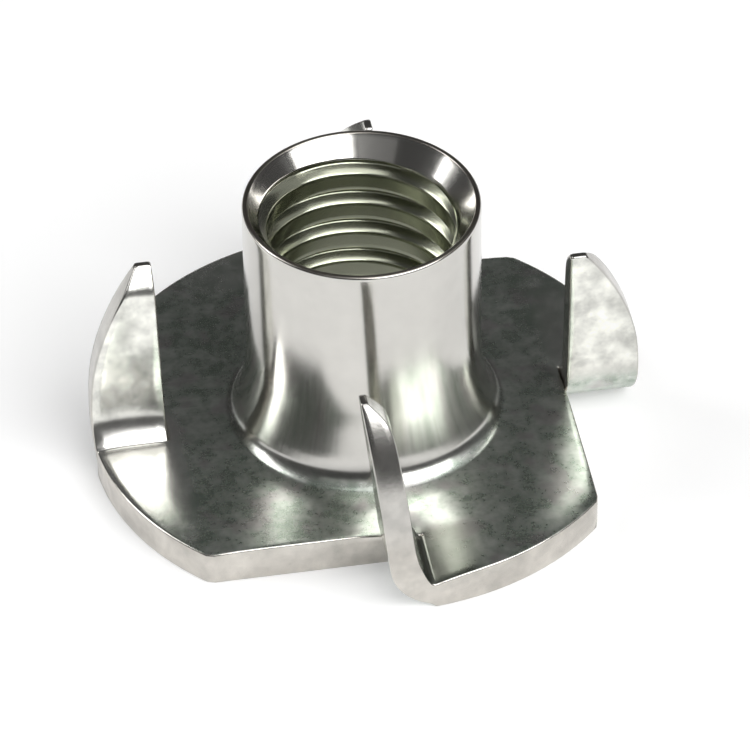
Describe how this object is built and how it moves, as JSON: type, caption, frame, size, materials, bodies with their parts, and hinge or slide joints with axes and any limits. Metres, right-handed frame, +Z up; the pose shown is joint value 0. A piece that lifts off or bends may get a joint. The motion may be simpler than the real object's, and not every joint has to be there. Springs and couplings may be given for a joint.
{
  "type": "tee nut",
  "caption": "Pronged tee nut: a flared, threaded barrel drawn from a round sheet flange whose rim is slit and folded up into prongs that bite into wood.",
  "frame": {"origin": "on the barrel's axis at the underside of the flange", "axes": "+Z up the barrel towards its mouth, which is also the way the prongs point; one prong's fold lies towards -Y"},
  "size_m": [0.0212, 0.0212, 0.0111],
  "materials": {
    "steel": "bright zinc plate over drawn sheet steel, polished on the barrel and mottled on the flange"
  },
  "bodies": {
    "root": {"tee_nut": "steel"}
  },
  "joints": []
}
